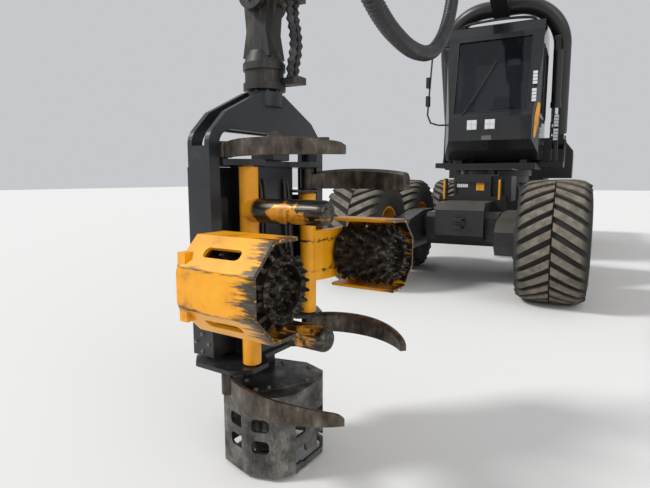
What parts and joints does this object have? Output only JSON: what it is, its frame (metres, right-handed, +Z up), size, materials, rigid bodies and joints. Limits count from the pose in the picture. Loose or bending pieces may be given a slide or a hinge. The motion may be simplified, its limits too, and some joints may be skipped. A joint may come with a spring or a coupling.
{
  "type": "forestry harvester",
  "caption": "Wheeled forest harvester with a turning cab, an arch boom over the cab, a telescopic jib and a hanging harvester head with spiked feed rollers and knives.",
  "frame": {"origin": "on the ground, under the middle of the whole length with the crane parked forward, on the middle plane", "axes": "+X forward along the machine, +Y to its left, +Z up"},
  "size_m": [11.9806, 2.91, 5.3947],
  "materials": {
    "black_paint": "satin",
    "yellow_paint": "satin",
    "tyre_rubber": "matt",
    "hose_rubber": "matt",
    "bare_steel": "worn",
    "cast_steel": "rough",
    "chrome_rod": "polished",
    "window_glass": "clear",
    "seat_fabric": "woven",
    "cab_plastic": "matt",
    "lamp_white": "gloss"
  },
  "bodies": {
    "middle": {"middle_frame": "black_paint"},
    "front": {"front_frame": "black_paint", "front_bogies": "black_paint", "tow_clevis_front": "bare_steel"},
    "rear": {"rear_frame": "black_paint", "rear_bogies": "black_paint", "engine_block": "cast_steel", "rear_hood": "black_paint", "tow_clevis_rear": "bare_steel"},
    "platform": {"platform": "black_paint", "cab_shell": "black_paint", "cab_glass": "window_glass", "cab_seat": "seat_fabric", "cab_controls": "cab_plastic", "lamps": "lamp_white", "mirror_rail": "black_paint"},
    "door": {"cab_door": "yellow_paint", "door_glass": "window_glass"},
    "boom": {"arch_boom": "black_paint"},
    "lift_barrels": {"lift_barrels": "black_paint"},
    "lift_rods": {"lift_rods": "chrome_rod"},
    "jib": {"jib": "black_paint", "loop_hose": "hose_rubber"},
    "jib_barrel": {"jib_barrel": "black_paint"},
    "jib_rod": {"jib_rod": "chrome_rod"},
    "extension": {"extension": "black_paint"},
    "upper_link": {"upper_link": "cast_steel"},
    "lower_link": {"lower_link": "cast_steel", "drop_hose": "hose_rubber"},
    "tilt_frame": {"tilt_frame": "black_paint"},
    "head": {"head_body": "black_paint", "saw_box": "bare_steel"},
    "feed_arm_near": {"feed_arm_near": "yellow_paint"},
    "feed_arm_far": {"feed_arm_far": "yellow_paint"},
    "roller_near": {"roller_near": "bare_steel"},
    "roller_far": {"roller_far": "bare_steel"},
    "knife_upper_near": {"knife_upper_near": "bare_steel"},
    "knife_upper_far": {"knife_upper_far": "bare_steel"},
    "knife_lower_near": {"knife_lower_near": "bare_steel"},
    "knife_lower_far": {"knife_lower_far": "bare_steel"},
    "saw_bar": {"saw_bar": "bare_steel"},
    "wheel_front_1_left": {"tyre_front_1_left": "tyre_rubber", "rim_front_1_left": "yellow_paint"},
    "wheel_front_1_right": {"tyre_front_1_right": "tyre_rubber", "rim_front_1_right": "yellow_paint"},
    "wheel_front_2_left": {"tyre_front_2_left": "tyre_rubber", "rim_front_2_left": "yellow_paint"},
    "wheel_front_2_right": {"tyre_front_2_right": "tyre_rubber", "rim_front_2_right": "yellow_paint"},
    "wheel_rear_1_left": {"tyre_rear_1_left": "tyre_rubber", "rim_rear_1_left": "yellow_paint"},
    "wheel_rear_1_right": {"tyre_rear_1_right": "tyre_rubber", "rim_rear_1_right": "yellow_paint"},
    "wheel_rear_2_left": {"tyre_rear_2_left": "tyre_rubber", "rim_rear_2_left": "yellow_paint"},
    "wheel_rear_2_right": {"tyre_rear_2_right": "tyre_rubber", "rim_rear_2_right": "yellow_paint"}
  },
  "joints": [
    {"name": "steer_front", "type": "hinge", "parent": "middle", "child": "front", "pos_m": [-0.9403, 0, 0.805], "axis": [0, 0, 1], "range_deg": [-20, 20]},
    {"name": "steer_rear", "type": "hinge", "parent": "middle", "child": "rear", "pos_m": [-2.8403, 0, 0.805], "axis": [0, 0, 1], "range_deg": [-20, 20]},
    {"name": "wheel_front_1_left", "type": "hinge", "parent": "front", "child": "wheel_front_1_left", "pos_m": [1.3597, 1.1, 0.67], "axis": [0, 1, 0], "continuous": true},
    {"name": "wheel_front_1_right", "type": "hinge", "parent": "front", "child": "wheel_front_1_right", "pos_m": [1.3597, -1.1, 0.67], "axis": [0, 1, 0], "continuous": true},
    {"name": "wheel_front_2_left", "type": "hinge", "parent": "front", "child": "wheel_front_2_left", "pos_m": [-0.1403, 1.1, 0.67], "axis": [0, 1, 0], "continuous": true},
    {"name": "wheel_front_2_right", "type": "hinge", "parent": "front", "child": "wheel_front_2_right", "pos_m": [-0.1403, -1.1, 0.67], "axis": [0, 1, 0], "continuous": true},
    {"name": "wheel_rear_1_left", "type": "hinge", "parent": "rear", "child": "wheel_rear_1_left", "pos_m": [-5.1403, 1.1, 0.67], "axis": [0, 1, 0], "continuous": true},
    {"name": "wheel_rear_1_right", "type": "hinge", "parent": "rear", "child": "wheel_rear_1_right", "pos_m": [-5.1403, -1.1, 0.67], "axis": [0, 1, 0], "continuous": true},
    {"name": "wheel_rear_2_left", "type": "hinge", "parent": "rear", "child": "wheel_rear_2_left", "pos_m": [-3.6403, 1.1, 0.67], "axis": [0, 1, 0], "continuous": true},
    {"name": "wheel_rear_2_right", "type": "hinge", "parent": "rear", "child": "wheel_rear_2_right", "pos_m": [-3.6403, -1.1, 0.67], "axis": [0, 1, 0], "continuous": true},
    {"name": "slew", "type": "hinge", "parent": "middle", "child": "platform", "pos_m": [-1.8903, 0, 1.4], "axis": [0, 0, 1], "range_deg": [-140, 140]},
    {"name": "door_hinge", "type": "hinge", "parent": "platform", "child": "door", "pos_m": [-1.7303, 0.755, 2.1], "axis": [0, 0, 1], "range_deg": [0, 75]},
    {"name": "lift", "type": "hinge", "parent": "platform", "child": "boom", "pos_m": [-2.7903, 0, 2], "axis": [0, -1, 0], "range_deg": [-3, 35]},
    {"name": "lift_barrel_swing", "type": "hinge", "parent": "boom", "child": "lift_barrels", "pos_m": [-1.9403, 0, 3.62], "axis": [0, -1, 0], "range_deg": [-0.92, 5.4]},
    {"name": "lift_rod_slide", "type": "slide", "parent": "lift_barrels", "child": "lift_rods", "axis": [-0.2002, 0, -0.9797], "range_m": [-0.0352, 0.3577]},
    {"name": "jib_fold", "type": "hinge", "parent": "boom", "child": "jib", "pos_m": [0.8597, 0, 4.95], "axis": [0, 1, 0], "range_deg": [-30, 35]},
    {"name": "jib_barrel_swing", "type": "hinge", "parent": "boom", "child": "jib_barrel", "pos_m": [-1.3403, 0, 4.86], "axis": [0, 1, 0], "range_deg": [-1.22, 1.34]},
    {"name": "jib_rod_slide", "type": "slide", "parent": "jib_barrel", "child": "jib_rod", "axis": [0.9772, 0, 0.2123], "range_m": [-0.196, 0.2279]},
    {"name": "extend", "type": "slide", "parent": "jib", "child": "extension", "axis": [0.8718, 0, -0.4898], "range_m": [-0.8, 1]},
    {"name": "link_pitch", "type": "hinge", "parent": "extension", "child": "upper_link", "pos_m": [5.3097, 0, 2.45], "axis": [0, 1, 0], "range_deg": [-50, 50]},
    {"name": "link_roll", "type": "hinge", "parent": "upper_link", "child": "lower_link", "pos_m": [5.3097, 0, 2.13], "axis": [1, 0, 0], "range_deg": [-30, 30]},
    {"name": "rotate_head", "type": "hinge", "parent": "lower_link", "child": "tilt_frame", "pos_m": [5.3097, 0, 1.75], "axis": [0, 0, 1], "continuous": true},
    {"name": "head_tilt", "type": "hinge", "parent": "tilt_frame", "child": "head", "pos_m": [5.30865, -0.00995, 1], "axis": [-0.9945, 0.1045, 0], "range_deg": [0, 90]},
    {"name": "feed_arm_close", "type": "hinge", "parent": "head", "child": "feed_arm_near", "pos_m": [5.53241, 0.06206, 0.97], "axis": [0, 0, 1], "range_deg": [0, 38]},
    {"name": "feed_arm_far_close", "type": "hinge", "parent": "head", "child": "feed_arm_far", "pos_m": [5.10476, 0.10701, 0.97], "axis": [0, 0, -1], "range_deg": [0, 38]},
    {"name": "roller_near_spin", "type": "hinge", "parent": "feed_arm_near", "child": "roller_near", "pos_m": [5.77893, 0.11156, 0.97], "axis": [0.1045, 0.9945, 0], "continuous": true},
    {"name": "roller_far_spin", "type": "hinge", "parent": "feed_arm_far", "child": "roller_far", "pos_m": [4.87392, 0.20668, 0.97], "axis": [-0.1045, -0.9945, 0], "continuous": true},
    {"name": "knives_upper_close", "type": "hinge", "parent": "head", "child": "knife_upper_near", "pos_m": [5.60769, -0.00618, 1.46], "axis": [0, 0, 1], "range_deg": [0, 50]},
    {"name": "knife_upper_far_close", "type": "hinge", "parent": "head", "child": "knife_upper_far", "pos_m": [5.01694, 0.05591, 1.35], "axis": [0, 0, -1], "range_deg": [0, 50]},
    {"name": "knives_lower_close", "type": "hinge", "parent": "head", "child": "knife_lower_near", "pos_m": [5.60769, -0.00618, 0.47], "axis": [0, 0, 1], "range_deg": [0, 50]},
    {"name": "knife_lower_far_close", "type": "hinge", "parent": "head", "child": "knife_lower_far", "pos_m": [5.01694, 0.05591, 0.6], "axis": [0, 0, -1], "range_deg": [0, 50]},
    {"name": "saw_swing", "type": "hinge", "parent": "head", "child": "saw_bar", "pos_m": [5.40443, 0.04032, 0.07], "axis": [0, 0, -1], "range_deg": [0, 125]}
  ],
  "couplings": [
    {"joint": "lift_barrel_swing", "follows": "lift", "ratio": 0.14011},
    {"joint": "lift_rod_slide", "follows": "lift", "m_per_rad": 0.57735},
    {"joint": "jib_barrel_swing", "follows": "jib_fold", "ratio": 0.02399},
    {"joint": "jib_rod_slide", "follows": "jib_fold", "m_per_rad": 0.36484},
    {"joint": "feed_arm_far_close", "follows": "feed_arm_close", "ratio": 1},
    {"joint": "knife_upper_far_close", "follows": "knives_upper_close", "ratio": 1},
    {"joint": "knife_lower_far_close", "follows": "knives_lower_close", "ratio": 1}
  ]
}
